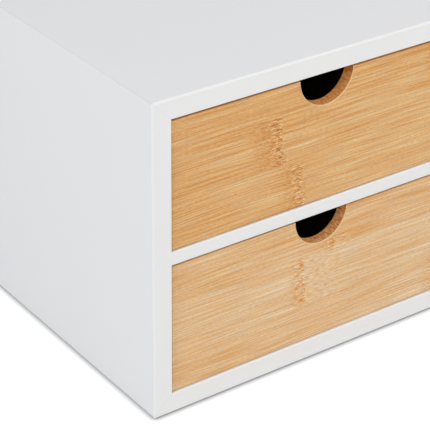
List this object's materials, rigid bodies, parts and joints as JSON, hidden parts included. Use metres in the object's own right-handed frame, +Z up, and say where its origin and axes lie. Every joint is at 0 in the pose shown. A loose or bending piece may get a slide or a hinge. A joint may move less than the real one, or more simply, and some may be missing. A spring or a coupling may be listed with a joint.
{
  "type": "desktop drawer unit",
  "caption": "Small desktop case of white lacquered board with stacked sliding drawers, bamboo fronts and half-round finger cut-outs in their upper edges.",
  "frame": {"origin": "on the surface that the pads stand on, under the middle of the case", "axes": "+Z up, -Y towards the drawer fronts, +X to the right seen from the front"},
  "size_m": [0.171, 0.2, 0.145],
  "materials": {
    "white_lacquer": "white satin lacquer on fibreboard",
    "white_hardboard": "white coated hardboard",
    "bamboo": "flat-pressed bamboo under matt oil",
    "drawer_fibreboard": "raw fibreboard, sanded",
    "drawer_hardboard": "raw hardboard, smooth face up",
    "birch_plywood": "raw birch plywood",
    "steel_brad": "bright steel wire",
    "pad_rubber": "matt closed-cell rubber"
  },
  "bodies": {
    "case": {"top_board": "white_lacquer", "bottom_board": "white_lacquer", "left_side_board": "white_lacquer", "right_side_board": "white_lacquer", "shelf": "white_lacquer", "back_board": "white_hardboard", "back_board_brads": "steel_brad", "spline_top_left": "birch_plywood", "spline_top_right": "birch_plywood", "spline_bottom_left": "birch_plywood", "spline_bottom_right": "birch_plywood", "pad_front_left": "pad_rubber", "pad_front_right": "pad_rubber", "pad_rear_left": "pad_rubber", "pad_rear_right": "pad_rubber"},
    "upper_drawer": {"upper_front": "bamboo", "upper_left_side": "drawer_fibreboard", "upper_right_side": "drawer_fibreboard", "upper_back": "drawer_fibreboard", "upper_bottom": "drawer_hardboard", "upper_brads": "steel_brad"},
    "lower_drawer": {"lower_front": "bamboo", "lower_left_side": "drawer_fibreboard", "lower_right_side": "drawer_fibreboard", "lower_back": "drawer_fibreboard", "lower_bottom": "drawer_hardboard", "lower_brads": "steel_brad"}
  },
  "joints": [
    {"name": "upper_slide", "type": "slide", "parent": "case", "child": "upper_drawer", "axis": [0, -1, 0], "range_m": [0, 0.15]},
    {"name": "lower_slide", "type": "slide", "parent": "case", "child": "lower_drawer", "axis": [0, -1, 0], "range_m": [0, 0.15]}
  ]
}
